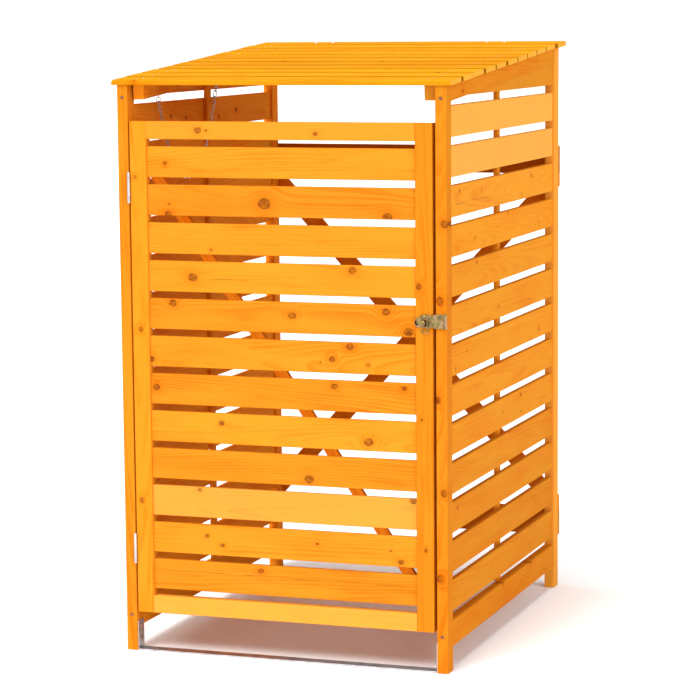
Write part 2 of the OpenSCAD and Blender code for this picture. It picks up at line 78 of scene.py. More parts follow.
class Shade:
    """Adds nodes to one tree. A value given to a node is a number, a vector or another node's output."""

    def __init__(self, tree):
        self.tree = tree

    def put(self, socket, value):
        if isinstance(value, bpy.types.NodeSocket):
            self.tree.links.new(value, socket)
        elif value is not None:
            socket.default_value = value

    def node(self, kind, values=None, **settings):
        made = self.tree.nodes.new(kind)
        for name, value in settings.items():
            setattr(made, name, value)
        for name, value in (values or {}).items():
            self.put(made.inputs[name], value)
        return made

    def math(self, operation, a, b=None, c=None):
        made = self.node("ShaderNodeMath", operation=operation)
        for socket, value in zip(made.inputs, (a, b, c)):
            self.put(socket, value)
        return made.outputs[0]

    def vector(self, operation, a, b=None):
        made = self.node("ShaderNodeVectorMath", operation=operation)
        for socket, value in zip(made.inputs, (a, b)):
            self.put(socket, value)
        return made.outputs[0]

    def split(self, vector):
        return self.node("ShaderNodeSeparateXYZ", {"Vector": vector}).outputs

    def join(self, x, y, z):
        return self.node("ShaderNodeCombineXYZ", {"X": x, "Y": y, "Z": z}).outputs[0]

    def attribute(self, name):
        return self.node("ShaderNodeAttribute", attribute_name=name).outputs["Vector"]

    def noise(self, vector, scale, detail=2.0, roughness=0.5):
        values = {"Vector": vector, "Scale": scale, "Detail": detail, "Roughness": roughness}
        return self.node("ShaderNodeTexNoise", values).outputs["Fac"]

    def step(self, value, low, high):
        """0 below low, 1 above high, and a smooth rise between."""
        values = {"Value": value, "From Min": low, "From Max": high}
        return self.node("ShaderNodeMapRange", values, interpolation_type="SMOOTHSTEP").outputs["Result"]

    def mix(self, factor, a, b, blend="MIX"):
        made = self.node("ShaderNodeMix", data_type="RGBA", blend_type=blend)
        for socket, value in zip((made.inputs[0], made.inputs[6], made.inputs[7]), (factor, a, b)):
            self.put(socket, value)
        return made.outputs[2]

    def tint(self, colour, amount):
        """colour times amount, a number."""
        return self.node("ShaderNodeVectorMath", {0: colour, "Scale": amount}, operation="SCALE").outputs[0]


def shader_group(name, inputs, outputs):
    """A node group with named colour or number sockets, its Shade, its input sockets and its output node."""
    tree = bpy.data.node_groups.new(name, "ShaderNodeTree")
    for label, kind in inputs.items():
        tree.interface.new_socket(label, in_out="INPUT", socket_type=kind)
    for label, kind in outputs.items():
        tree.interface.new_socket(label, in_out="OUTPUT", socket_type=kind)
    shade = Shade(tree)
    return tree, shade, shade.node("NodeGroupInput").outputs, shade.node("NodeGroupOutput").inputs


COLOUR, NUMBER = "NodeSocketColor", "NodeSocketFloat"
RINGS_PER_METRE = 270.0
KNOT_SLANT = 0.82  # below 1, a knot is longer along the grain than across it
KNOT_REACH = 2.1  # how far a knot bends the grain round it, in its own radii
KNOT_RINGS = 3200.0
CRACK_WIDTH = (0.0002, 0.0011)  # of its black middle and of its soft edges


def pine_group():
    """Grain of a pine board, from the board's own attributes in metres: grain is the place along, across
    and through it; pith is where the tree's centre lies across and through it, and how it tilts; the tone
    attribute is its lightness, its seed and its warmth, where the lightness of some boards is painted light or
    painted shade; each knot is a place along and across and a radius; check is a drying crack's two ends
    along the board and its place across it."""
    tree, s, given, out = shader_group(
        "stained_pine",
        {"Early wood": COLOUR, "Late wood": COLOUR, "Knot": COLOUR},
        {"Color": COLOUR, "Roughness": NUMBER, "Height": NUMBER},
    )
    along, across, through = s.split(s.attribute("grain"))[:3]
    pith_v, pith_w, tilt = s.split(s.attribute("pith"))[:3]
    tone_and_painted_light, seed, warmth = s.split(s.attribute("tone_and_painted_light"))[:3]
    shift = s.math("MULTIPLY", seed, 7.3)

    def stretched(lengthwise, crosswise, offset=0.0):
        moved = s.math("ADD", s.math("MULTIPLY", along, lengthwise), s.math("ADD", shift, offset))
        return s.join(moved, s.math("MULTIPLY", across, crosswise), s.math("MULTIPLY", through, crosswise))

    # knots push the rings aside, have a dark rim and rings of their own
    rough = s.noise(stretched(90, 110), 1.0, 2.0)
    knot, rim, push, halo = 0.0, 0.0, 0.0, 0.0
    for number in range(1, 6):
        knot_u, knot_v, radius = s.split(s.attribute(f"knot_{number}"))[:3]
        du = s.math("MULTIPLY", s.math("SUBTRACT", along, knot_u), KNOT_SLANT)
        dv = s.math("SUBTRACT", across, knot_v)
        far = s.math("SQRT", s.math("ADD", s.math("MULTIPLY", du, du), s.math("MULTIPLY", dv, dv)))
        ratio = s.math("DIVIDE", far, s.math("MAXIMUM", radius, 0.0001))
        ratio = s.math("ADD", ratio, s.math("MULTIPLY", s.math("SUBTRACT", rough, 0.5), 0.45))
        knot = s.math("MAXIMUM", knot, s.math("SUBTRACT", 1.0, s.step(ratio, 0.55, 1.0)))
        edge = s.math("MULTIPLY", s.step(ratio, 0.6, 0.85), s.math("SUBTRACT", 1.0, s.step(ratio, 0.88, 1.12)))
        rim = s.math("MAXIMUM", rim, edge)
        near = s.math("DIVIDE", ratio, KNOT_REACH)
        spread = s.math("EXPONENT", s.math("MULTIPLY", s.math("MULTIPLY", near, near), -1.0))
        push = s.math("ADD", push, s.math("MULTIPLY", spread, radius))
        halo = s.math("MAXIMUM", halo, spread)

    # rings: each is a year's growth, pale and then dark, at its distance from the pith, which wanders slowly
    wander = s.math("MULTIPLY", s.math("SUBTRACT", s.noise(stretched(2.2, 9), 1.0, 2.0), 0.5), 0.022)
    sway = s.math("MULTIPLY", s.math("SUBTRACT", s.noise(stretched(1.3, 5, 31.0), 1.0, 1.0), 0.5), 0.03)
    dv = s.math("ADD", s.math("SUBTRACT", across, pith_v), wander)
    leaning = s.math("ADD", s.math("MULTIPLY", tilt, along), sway)
    dw = s.math("ADD", s.math("SUBTRACT", through, pith_w), leaning)
    from_pith = s.math("SQRT", s.math("ADD", s.math("MULTIPLY", dv, dv), s.math("MULTIPLY", dw, dw)))
    from_pith = s.math("ADD", from_pith, s.math("MULTIPLY", push, 1.5))
    from_pith = s.math("ADD", from_pith, s.math("MULTIPLY", rough, 0.0005))
    yearly = s.noise(s.join(s.math("MULTIPLY", from_pith, 160.0), shift, 0.0), 1.0, 1.0)
    years = s.math("ADD", s.math("MULTIPLY", from_pith, RINGS_PER_METRE), s.math("MULTIPLY", yearly, 1.6))
    ring = s.math("FRACT", years)
    late = s.math("MULTIPLY", s.step(ring, 0.25, 0.9), s.math("SUBTRACT", 1.0, s.step(ring, 0.93, 1.0)))
    late = s.math("MULTIPLY", late, s.step(s.noise(stretched(5, 30, 11.0), 1.0, 2.0), 0.28, 0.72))

    # fibres, patches where the stain took up more, and streaks of it
    fibre = s.noise(stretched(14, 900, 3.0), 1.0, 3.0, 0.6)
    patch = s.noise(stretched(4, 24, 57.0), 1.0, 3.0, 0.55)
    stain = s.step(s.noise(stretched(9, 60, 83.0), 1.0, 3.0, 0.6), 0.56, 0.74)

    # a drying crack: a hair line that wanders a little
    check_0, check_1, check_v = s.split(s.attribute("check"))[:3]
    inside = s.math("MULTIPLY", s.step(along, check_0, s.math("ADD", check_0, 0.03)),
                    s.math("SUBTRACT", 1.0, s.step(along, s.math("SUBTRACT", check_1, 0.03), check_1)))
    drift = s.math("MULTIPLY", s.math("SUBTRACT", s.noise(stretched(12, 0, 19.0), 1.0, 3.0), 0.5), 0.014)
    off = s.math("ABSOLUTE", s.math("SUBTRACT", s.math("ADD", across, drift), check_v))
    crack = s.math("MULTIPLY", inside, s.math("SUBTRACT", 1.0, s.step(off, *CRACK_WIDTH)))
    crack = s.math("MULTIPLY", crack, s.step(s.noise(stretched(16, 0, 47.0), 1.0, 2.0), 0.35, 0.6))

    # colour: lightness scales it, and share runs from the early wood's to the late wood's; a board with a
    # warmth below 0 is paler and less yellow than either
    # on some inner boards and the back rails this lightness is painted light or painted shade
    lightness = s.math("ADD", 1.0, s.math("MULTIPLY", tone_and_painted_light, 0.11))
    lightness = s.math("ADD", lightness, s.math("MULTIPLY", s.math("SUBTRACT", patch, 0.5), 0.16))
    lightness = s.math("ADD", lightness, s.math("MULTIPLY", s.math("SUBTRACT", fibre, 0.5), 0.26))
    patchy = s.math("MULTIPLY", s.math("SUBTRACT", patch, 0.5), 1.2)
    share = s.math("ADD", s.math("MULTIPLY", late, 0.5), patchy)
    share = s.math("ADD", share, s.math("ADD", s.math("MULTIPLY", stain, 0.3), s.math("MULTIPLY", warmth, 0.3)))
    share = s.math("MINIMUM", s.math("MAXIMUM", s.math("ADD", share, s.math("MULTIPLY", halo, 0.45)), 0.0), 1.0)
    wood = s.mix(share, given["Early wood"], given["Late wood"])
    pale = s.math("MULTIPLY", s.math("MAXIMUM", s.math("MULTIPLY", warmth, -1.0), 0.0), 1.3)
    wood = s.mix(pale, wood, s.vector("MULTIPLY", given["Early wood"], (1.1, 1.4, 4.5)))
    core_ring = s.math("ADD", s.math("SINE", s.math("MULTIPLY", from_pith, KNOT_RINGS)), 1.0)
    core_ring = s.math("MULTIPLY", core_ring, 0.16)
    grimy = s.step(s.noise(stretched(120, 160, 5.0), 1.0, 2.0), 0.3, 0.7)
    fill = s.math("MULTIPLY", knot, s.math("ADD", s.math("MULTIPLY", grimy, 0.35), core_ring))
    wood = s.mix(s.math("ADD", fill, s.math("MULTIPLY", knot, 0.22)), wood, given["Knot"])
    dark_rim = s.math("MULTIPLY", rim, s.math("ADD", 0.4, s.math("MULTIPLY", grimy, 0.45)))
    wood = s.mix(dark_rim, wood, given["Knot"])
    wood = s.tint(wood, s.math("MULTIPLY", lightness, s.math("SUBTRACT", 1.0, s.math("MULTIPLY", crack, 0.42))))
    s.put(out["Color"], wood)
    s.put(out["Roughness"], s.math("ADD", 0.55, s.math("MULTIPLY", late, -0.06)))
    height = s.math("ADD", s.math("MULTIPLY", late, 0.5), s.math("MULTIPLY", fibre, 0.35))
    height = s.math("SUBTRACT", height, s.math("MULTIPLY", crack, 3.0))
    s.put(out["Height"], s.math("ADD", height, s.math("MULTIPLY", rim, -0.4)))
    return tree


def wear_group():
    """Marks on plated steel: mottled skin, fine scratches and a thin dark film in places."""
    tree, s, given, out = shader_group(
        "plated_wear", {"Size": NUMBER}, {"Mottle": NUMBER, "Film": NUMBER, "Scratch": NUMBER})
    place = s.vector("MULTIPLY", s.node("ShaderNodeTexCoord").outputs["Object"],
                     s.join(given["Size"], given["Size"], given["Size"]))
    s.put(out["Mottle"], s.noise(place, 90.0, 3.0, 0.6))
    s.put(out["Film"], s.step(s.noise(place, 34.0, 3.0, 0.6), 0.42, 0.68))
    s.put(out["Scratch"], s.noise(s.vector("MULTIPLY", place, (260.0, 900.0, 2400.0)), 1.0, 2.0))
    return tree


PINE = pine_group()
WEAR = wear_group()


def new_material(name, metallic=0.0):
    """A new material with its Shade and its Principled node."""
    material = bpy.data.materials.new(name)
    material.use_nodes = True
    surface = material.node_tree.nodes["Principled BSDF"]
    surface.inputs["Metallic"].default_value = metallic
    return material, Shade(material.node_tree), surface


def bump(shade, surface, height, strength, depth):
    """Relief from a height that runs from 0 to 1; depth is in metres."""
    values = {"Height": height, "Strength": strength, "Distance": depth}
    shade.put(surface.inputs["Normal"], shade.node("ShaderNodeBump", values).outputs["Normal"])


def wood_material(name, early, late, knot, painted_gap_shade_and_end_highlight=False):
    """early and late are the colours of a year's spring and autumn growth. The last argument is for the roof:
    it paints shade onto its boards' long edges in the gaps between them, and a paler painted highlight onto their
    ends."""
    material, s, surface = new_material(name)
    pine = s.node("ShaderNodeGroup", node_tree=PINE)
    for label, colour in (("Early wood", early), ("Late wood", late), ("Knot", knot)):
        pine.inputs[label].default_value = (*colour, 1)
    colour = pine.outputs["Color"]
    if painted_gap_shade_and_end_highlight:
        place = s.node("ShaderNodeTexCoord").outputs
        # painted shade: the boards' long edges in the gaps behind the front board's own edge are darkened
        long_edge = s.step(s.math("ABSOLUTE", s.split(place["Normal"])["Y"]), 0.5, 0.85)
        past_front_edge = s.step(s.split(place["Object"])["Y"], ROOF_FRONT + 0.012, ROOF_FRONT + 0.018)
        end = s.step(s.math("ABSOLUTE", s.split(place["Normal"])["X"]), 0.5, 0.85)
        painted_gap_shade = s.math("MULTIPLY", long_edge, past_front_edge)
        colour = s.tint(colour, s.math("SUBTRACT", 1.0, s.math("MULTIPLY", painted_gap_shade, 0.6)))
        # painted highlight: the boards' ends are mixed towards a paler colour
        colour = s.mix(s.math("MULTIPLY", end, 0.55), colour, PAINTED_END_HIGHLIGHT)
    s.put(surface.inputs["Base Color"], colour)
    s.put(surface.inputs["Roughness"], pine.outputs["Roughness"])
    surface.inputs["Specular IOR Level"].default_value = 0.004
    bump(s, surface, pine.outputs["Height"], 0.5, 0.0006)
    return material


def metal_material(name, bright, filmed, rough, rough_spread, size):
    """bright is the clean metal and filmed the metal under its dull film; size is how fine the marks are."""
    material, s, surface = new_material(name, metallic=1.0)
    wear = s.node("ShaderNodeGroup", node_tree=WEAR)
    wear.inputs["Size"].default_value = size
    s.put(surface.inputs["Base Color"], s.mix(wear.outputs["Film"], (*bright, 1), (*filmed, 1)))
    spread = s.math("MULTIPLY", wear.outputs["Mottle"], rough_spread)
    s.put(surface.inputs["Roughness"], s.math("ADD", rough, spread))
    bump(s, surface, wear.outputs["Scratch"], 0.25, 0.00006)
    return material


def chromate_material():
    """Yellow zinc plating with its green, pink and gold sheen."""
    material, s, surface = new_material("plated_steel", metallic=1.0)
    wear = s.node("ShaderNodeGroup", node_tree=WEAR)
    wear.inputs["Size"].default_value = 1.9
    ramp = s.node("ShaderNodeValToRGB", {"Fac": wear.outputs["Mottle"]})
    stops = ramp.color_ramp.elements
    stops[0].position, stops[0].color = 0.36, (0.17, 0.18, 0.07, 1)
    stops[1].position, stops[1].color = 0.66, (0.54, 0.30, 0.22, 1)
    for place, colour in ((0.44, (0.26, 0.22, 0.08)), (0.50, (0.38, 0.26, 0.09)), (0.57, (0.46, 0.31, 0.14))):
        stop = stops.new(place)
        stop.color = (*colour, 1)
    filmed = s.tint(ramp.outputs["Color"], 0.55)
    s.put(surface.inputs["Base Color"], s.mix(wear.outputs["Film"], ramp.outputs["Color"], filmed))
    s.put(surface.inputs["Roughness"], s.math("ADD", 0.26, s.math("MULTIPLY", wear.outputs["Mottle"], 0.22)))
    bump(s, surface, wear.outputs["Scratch"], 0.3, 0.00008)
    return material


ROOF_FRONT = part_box("lid_board_set")[0].y
# the paler colour of the painted highlight on the roof boards' ends
PAINTED_END_HIGHLIGHT = (0.80, 0.42, 0.06, 1)
MATERIALS = {
    "frame_wood": wood_material("frame_wood", (0.67, 0.238, 0.013), (0.57, 0.127, 0.003), (0.15, 0.032, 0.006)),
    "slat_wood": wood_material("slat_wood", (0.67, 0.250, 0.016), (0.58, 0.131, 0.004), (0.11, 0.026, 0.006)),
    # the roof's wood carries painted shade in the gaps between its boards and a painted highlight on their ends
    "lid_wood": wood_material("lid_wood", (0.66, 0.270, 0.007), (0.55, 0.145, 0.002), (0.10, 0.032, 0.006),
                              painted_gap_shade_and_end_highlight=True),
    "zinc_steel": metal_material("zinc_steel", (0.66, 0.67, 0.69), (0.45, 0.46, 0.48), 0.22, 0.22, 1.0),
    "plated_steel": chromate_material(),
    "screw_bronze": metal_material("screw_bronze", (0.46, 0.22, 0.17), (0.20, 0.09, 0.07), 0.32, 0.2, 2.0),
    "dark_steel": metal_material("dark_steel", (0.035, 0.032, 0.030), (0.06, 0.05, 0.045), 0.35, 0.2, 2.0),
}

# ---------------------------------------------------------------------------------------------------
# timber: each board of a CAD node gets eased edges, and the attributes that its grain is made from

# knots at listed places: X, Y and Z in millimetres on the board's face, and the radius
PLACED_KNOTS = {
    "door_top_rail": [(-169, -418, 1052, 6.5), (77, -418, 1047, 4.4), (-151, -418, 1052, 2.3)],
    "door_left_stile": [(-304, -418, 959, 3.4), (-297, -418, 656, 4.8), (-302, -418, 309, 5)],
    "door_right_stile": [(284, -418, 756, 5.7), (289, -418, 498, 2.5), (296, -418, 242, 3.5)],
    "door_slat_1": [(-241, -413, 987, 3.9)],
    "door_slat_2": [(-33, -413, 910, 10.5), (-236, -413, 886, 6), (220, -413, 888, 8), (-234, -413, 906, 2)],
    "door_slat_3": [(-146, -413, 817, 2.6)],
    "door_slat_4": [(-186, -413, 762, 8), (148, -413, 784, 7)],
    "door_slat_5": [(-229, -413, 710, 6.6), (23, -413, 692, 6.6), (216, -413, 705, 7), (262, -413, 667, 8)],
    "door_slat_6": [(-278, -413, 596, 6), (142, -413, 635, 6.5), (105, -413, 609, 5.6), (179, -413, 600, 2.7),
                    (80, -413, 602, 2)],
    "door_slat_7": [(-268, -413, 540, 6), (109, -413, 556, 5.6), (252, -413, 557, 4.4)],
    "door_slat_8": [(-129, -413, 473, 5.4), (179, -413, 449, 8)],
    "door_slat_9": [(55, -413, 369, 8.5)],
    "door_slat_10": [(269, -413, 338, 7), (-178, -413, 336, 4)],
    "door_slat_11": [(-164, -413, 243, 4), (-131, -413, 226, 4), (70, -413, 241, 2.8), (223, -413, 236, 2),
                     (243, -413, 215, 5)],
    "door_slat_12": [(-49, -413, 179, 5.2)],
    "front_right_post": [(335, -418, 877, 6.5), (326, -418, 729, 7), (321, -418, 538, 6), (333, -418, 356, 6.3),
                         (325, -418, 188, 6.3)],
    "right_side_slats": [(335, -315, 933, 3.4), (335, -162, 925, 2.4), (335, 214, 930, 3.6), (335, 4, 914, 2.1),
                         (335, 138, 897, 2.5), (335, 30, 866, 3.1), (335, -210, 834, 3.2), (335, 267, 839, 2.2),
                         (335, -198, 784, 3.2), (335, -204, 730, 2.4), (335, -40, 679, 2.9), (335, 274, 596, 4.3),
                         (335, 207, 582, 2.6), (335, -267, 615, 2), (335, -345, 590, 2.7), (335, 128, 473, 3.6),
                         (335, 130, 437, 2.5), (335, -9, 454, 2.5), (335, -335, 314, 3.5)],
    "right_top_rail": [(340, 66, 1173, 3.3), (340, -306, 1126, 3.9)],
    "right_bottom_rail": [(340, -25, 99, 5), (340, 190, 99, 5)],
    "left_side_slats": [(-323, -187, 1069, 4), (-323, -106, 1063, 4), (-323, 74, 1058, 4),
                        (-323, 175, 1069, 5)],
    "lid_board_set": [(-260, 259, 1202, 4), (-134, -26, 1181, 4), (-326, 116, 1191, 3), (-205, -156, 1171, 4),
                      (-180, -113, 1174, 4), (83, -31, 1180, 3.5), (45, 152, 1194, 5), (3, 273, 1203, 3),
                      (153, -202, 1168, 3), (169, -54, 1179, 3), (290, 191, 1197, 3), (277, -264, 1164, 3),
                      (-300, -420, 1152, 4), (-120, -308, 1159, 4), (53, 335, 1206, 4)],
}
# drying cracks: two points in millimetres, the first with the lower X or Y
PLACED_CHECKS = {
    "door_slat_12": [((-281, -413, 168), (274, -413, 163))],
    "door_slat_4": [((-181, -413, 759), (-23, -413, 759))],
    "right_side_slats": [((335, -365, 909), (335, -85, 912))],
}
# how light and how red a node's boards are, where they differ from chance. On the door's brace, the back braces,
# the left top rail, the rear left post, the left rafter, the left gable board and the left batten the high
# lightness is painted light on these shaded inner boards, and the back rails' low lightness is painted shade; the
# other values are the boards' own tone
BOARD_TONES_AND_PAINTED_LIGHT = {
    "door_slat_1": (0.4, 0.0), "door_slat_2": (-0.2, 0.95), "door_slat_3": (0.3, 0.2),
    "door_slat_4": (0.5, 0.0), "door_slat_5": (0.0, 0.8), "door_slat_6": (0.3, 0.5),
    "door_slat_7": (0.0, 0.7), "door_slat_8": (0.7, 0.05), "door_slat_9": (0.0, 0.75),
    "door_slat_10": (0.4, -0.3), "door_slat_11": (0.3, 0.3), "door_slat_12": (-0.1, 0.75),
    "door_top_rail": (0.5, -0.1), "door_bottom_rail": (1.2, -0.4),
    "door_left_stile": (0.7, 0.1), "door_right_stile": (-0.3, 0.7), "door_brace": (2.0, 1.6),
    "front_right_post": (-0.4, 0.9), "front_left_post": (0.0, 0.6), "back_upper_rail": (-2.6, 2.2),
    "back_lower_rail": (-0.9, 1.8), "back_brace_falling": (1.0, 1.5), "back_brace_rising": (0.4, 1.5),
    "left_top_rail": (1.6, 0.9), "rear_left_post": (3.6, 0.9),
    "lid_left_rafter": (2.6, 0.9), "left_gable_board": (2.2, 0.9), "left_mid_batten": (1.8, 0.9),
}
# the same for the numbered boards of a set, lowest or frontmost first, from their chance values. The left side's
# slats, seen from inside, are lightened as painted light, and the right side's slats grow lighter and less red
# towards the top as painted light
SET_TONES_AND_PAINTED_LIGHT = {
    "right_side_slats": lambda light, red, number: (
        0.3 * light - 0.5 + 0.11 * number, 0.3 * red + 0.55 - 0.008 * number * number),
    "left_side_slats": lambda light, red, number: (0.3 * light + 3.0, 0.3 * red + 0.8),
    "lid_board_set": lambda light, red, number: (0.5 * light, 0.5 * red + 0.2),
}
KNOT_NAMES = ("knot_1", "knot_2", "knot_3", "knot_4", "knot_5")
ATTRIBUTES = ("grain", "pith", "tone_and_painted_light", "check") + KNOT_NAMES
NO_KNOT, NO_CHECK = (50.0, 50.0, 0.0), (60.0, 61.0, 60.0)  # far off the board


class Board:
    """One closed solid of a node, with its own axes: along its grain, across it and out of its face."""

    def __init__(self, faces, points, facing=None):
        self.points, self.faces = points, faces
        pairs = [(f[i - 1], f[i]) for f in faces for i in range(len(f))]
        a, b = max(pairs, key=lambda p: (points[p[1]] - points[p[0]]).length_squared)
        self.along = toward_positive((points[b] - points[a]).normalized())
        normals = (face_normal([points[i] for i in f]) for f in faces)
        out = facing or max(normals, key=lambda n: n.length_squared)
        out = (out - self.along * out.dot(self.along)).normalized()
        self.across = toward_positive(out.cross(self.along))
        self.out = self.along.cross(self.across)
        spans = [[p.dot(axis) for p in points] for axis in (self.along, self.across, self.out)]
        self.low = [min(span) for span in spans]
        self.high = [max(span) for span in spans]

    def local(self, point):
        return Vector((point.dot(self.along), point.dot(self.across), point.dot(self.out)))

    def world(self, place):
        return self.along * place[0] + self.across * place[1] + self.out * place[2]

    def middle(self, axis):
        return (self.low[axis] + self.high[axis]) / 2

    def holds(self, place):
        return all(self.low[i] - 0.002 < place[i] < self.high[i] + 0.002 for i in (0, 1))


def toward_positive(v):
    return -v if max(v, key=abs) < 0 else v


def face_normal(corners):
    """The normal of a flat outline, as long as twice its area."""
    total = Vector()
    for i in range(1, len(corners) - 1):
        total += (corners[i] - corners[0]).cross(corners[i + 1] - corners[0])
    return total


def boards_of(node, facing=None):
    """The separate solids of a CAD node, lowest and leftmost first, as clean flat-faced boards."""
    bm = bmesh.new()
    bm.from_mesh(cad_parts[node].data)
    bmesh.ops.remove_doubles(bm, verts=bm.verts, dist=0.00002)
    bmesh.ops.dissolve_limit(bm, angle_limit=math.radians(0.6), verts=bm.verts, edges=bm.edges)
    bm.verts.ensure_lookup_table()
    waiting, found = set(bm.verts), []
    while waiting:
        group, todo = set(), [min(waiting, key=lambda v: v.index)]
        while todo:
            v = todo.pop()
            if v not in group:
                group.add(v)
                todo += [e.other_vert(v) for e in v.link_edges]
        waiting -= group
        order = sorted(group, key=lambda v: v.index)
        number = {v: i for i, v in enumerate(order)}
        faces = [[number[v] for v in f.verts] for f in bm.faces if f.verts[0] in group]
        found.append(Board(faces, [v.co.copy() for v in order], facing))
    bm.free()
    return sorted(found, key=lambda b: (round(b.low[0], 3), round(b.low[1], 3), round(b.low[2], 3)))


def ease_edges(board, radius):
    """The board as a bmesh with its sharp edges rounded, in the row frame."""
    bm = bmesh.new()
    made = [bm.verts.new(p) for p in board.points]
    for face in board.faces:
        bm.faces.new([made[i] for i in face])
    bm.normal_update()
    sharp = [e for e in bm.edges if len(e.link_faces) == 2 and e.calc_face_angle(0) > math.radians(25)]
    bmesh.ops.bevel(bm, geom=sharp, offset=radius, segments=2, profile=0.6, affect="EDGES", clamp_overlap=True)
    bmesh.ops.dissolve_degenerate(bm, edges=bm.edges, dist=0.000005)
    return bm


def board_character(board, node, number, knots_wanted):
    """Where this board was cut from its tree, its colour, and its knots and cracks."""
    rng = random.Random(f"{node} {number}")
    width = board.high[1] - board.low[1]
    length = board.high[0] - board.low[0]
    pith = (board.middle(1) + rng.uniform(-0.9, 0.9) * width,
            board.middle(2) - rng.choice((-1, 1)) * rng.uniform(0.018, 0.07), rng.uniform(-0.05, 0.05))
    light, seed, red = rng.uniform(-1, 1), rng.uniform(0, 60), rng.uniform(-0.5, 0.9)
    # on some boards the lightness from these tables is painted light or painted shade
    if node in BOARD_TONES_AND_PAINTED_LIGHT:
        light, red = BOARD_TONES_AND_PAINTED_LIGHT[node]
    elif node in SET_TONES_AND_PAINTED_LIGHT:
        light, red = SET_TONES_AND_PAINTED_LIGHT[node](light, red, number)
    tone_and_painted_light = (light, seed, red)
    placed = [(board.local(Vector(k[:3]) / 1000), k[3] / 1000) for k in PLACED_KNOTS.get(node, [])]
    knots = [(place[0], place[1], radius) for place, radius in placed if board.holds(place)][:len(KNOT_NAMES)]
    wanted = rng.random() * knots_wanted * length / 0.6
    while len(knots) < 3 and wanted > 0.5 and not placed:
        knots.append((rng.uniform(board.low[0] + 0.03, board.high[0] - 0.03),
                      board.middle(1) + rng.uniform(-0.42, 0.42) * width, rng.uniform(0.0025, 0.006)))
        wanted -= 0.5
    knots += [NO_KNOT] * (len(KNOT_NAMES) - len(knots))
    check = NO_CHECK
    for start, end in PLACED_CHECKS.get(node, []):
        start, end = board.local(Vector(start) / 1000), board.local(Vector(end) / 1000)
        if board.holds(start) and board.holds(end):
            check = (start[0], end[0], start[1])
    return {"pith": pith, "tone_and_painted_light": tone_and_painted_light, "check": check, **dict(zip(KNOT_NAMES, knots))}


def timber(node, body, slot, facing=None, ease=0.0006, knots=0.6, shape=None):
    """The finished boards of one CAD node as one piece. shape changes a board's bmesh before its grain."""
    points, faces, columns = [], [], {name: [] for name in ATTRIBUTES}
    boards = boards_of(node, facing)
    for number, board in enumerate(boards):
        bm = ease_edges(board, ease)
        if shape:
            shape(bm, board, number, len(boards))
        character = board_character(board, node, number, knots)
        base = len(points)
        bm.verts.index_update()
        for v in bm.verts:
            points.append(v.co[:])
            columns["grain"].append(board.local(v.co)[:])
            for name, value in character.items():
                columns[name].append(value)
        faces += [[base + v.index for v in f.verts] for f in bm.faces]
        bm.free()
    mesh = bpy.data.meshes.new(node + "_timber")
    mesh.from_pydata(points, [], faces)
    for name, values in columns.items():
        layer = mesh.attributes.new(name, "FLOAT_VECTOR", "POINT")
        layer.data.foreach_set("vector", [x for value in values for x in value])
    mesh.materials.append(MATERIALS[slot])
    piece = bpy.data.objects.new(node + "_timber", mesh)
    bpy.context.scene.collection.objects.link(piece)
    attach(piece, body)
    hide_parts(node)
    return boards


def cut_corner(bm, point, normal):
    """Takes off what lies beyond a plane, and closes the cut."""
    geometry = bm.verts[:] + bm.edges[:] + bm.faces[:]
    cut = bmesh.ops.bisect_plane(bm, geom=geometry, plane_co=point, plane_no=normal, clear_outer=True)
    rims = [e for e in cut["geom_cut"] if isinstance(e, bmesh.types.BMEdge)]
    bmesh.ops.holes_fill(bm, edges=rims, sides=0)
    bm.normal_update()


END_GRAIN = 0.01  # what lies nearer than this to a roof board's end moves with the end
CHIP_DEPTH = 0.0035


def lid_board(bm, board, number, count):
    """Roof boards end a little short of each other, and the front one has lost a chip at its left end. Two
    boards keep their whole length at each side, so that the roof keeps its width."""
    rng = random.Random(f"lid end {number}")
    left = 0 if number in (2, count - 2) else rng.uniform(0.0, 0.0045)
    right = 0 if number in (1, count - 1) else rng.uniform(0.0, 0.0050)
    for v in bm.verts:
        from_left = v.co.dot(board.along) - board.low[0]
        from_right = board.high[0] - v.co.dot(board.along)
        if from_right < END_GRAIN:
            v.co -= board.along * right
        elif from_left < END_GRAIN:
            v.co += board.along * left
    if number == 0:
        corner = board.world((board.low[0] + left, board.low[1], board.high[2]))
        lean = (board.out * 0.8 - board.along * 0.5 - board.across * 0.45).normalized()
        cut_corner(bm, corner - lean * CHIP_DEPTH, lean)


POST_FACE = Vector((0, 1, 0))
for name in ("front_left_post", "front_right_post", "rear_left_post", "rear_right_post"):
    timber(name, "frame", "frame_wood", facing=POST_FACE, knots=0.35)
side_boards = {side: timber(side + "_side_slats", "frame", "slat_wood", knots=0.5)
               for side in ("left", "right")}
for side in ("left", "right"):
    timber(side + "_mid_batten", "frame", "frame_wood")
    timber(side + "_top_rail", "frame", "frame_wood")
    timber(side + "_gable_board", "frame", "slat_wood")
    timber(side + "_bottom_rail", "frame", "frame_wood")
    timber("lid_" + side + "_rafter", "lid", "frame_wood")
for name in ("back_head_rail", "back_upper_rail", "back_lower_rail", "back_brace_falling", "back_brace_rising",
             "door_stop"):
    timber(name, "frame", "frame_wood")
for name in ("door_left_stile", "door_right_stile", "door_top_rail", "door_bottom_rail"):
    timber(name, "door", "frame_wood", knots=0.3)
brace_boards = timber("door_brace", "door", "frame_wood", facing=POST_FACE)
door_slats = [timber(f"door_slat_{i}", "door", "slat_wood", knots=0.3)[0] for i in range(1, 13)]
lid_boards = timber("lid_board_set", "lid", "lid_wood", knots=0.4, shape=lid_board)

# ---------------------------------------------------------------------------------------------------
# metalware: the CAD shapes, with the threshold strip's edges eased


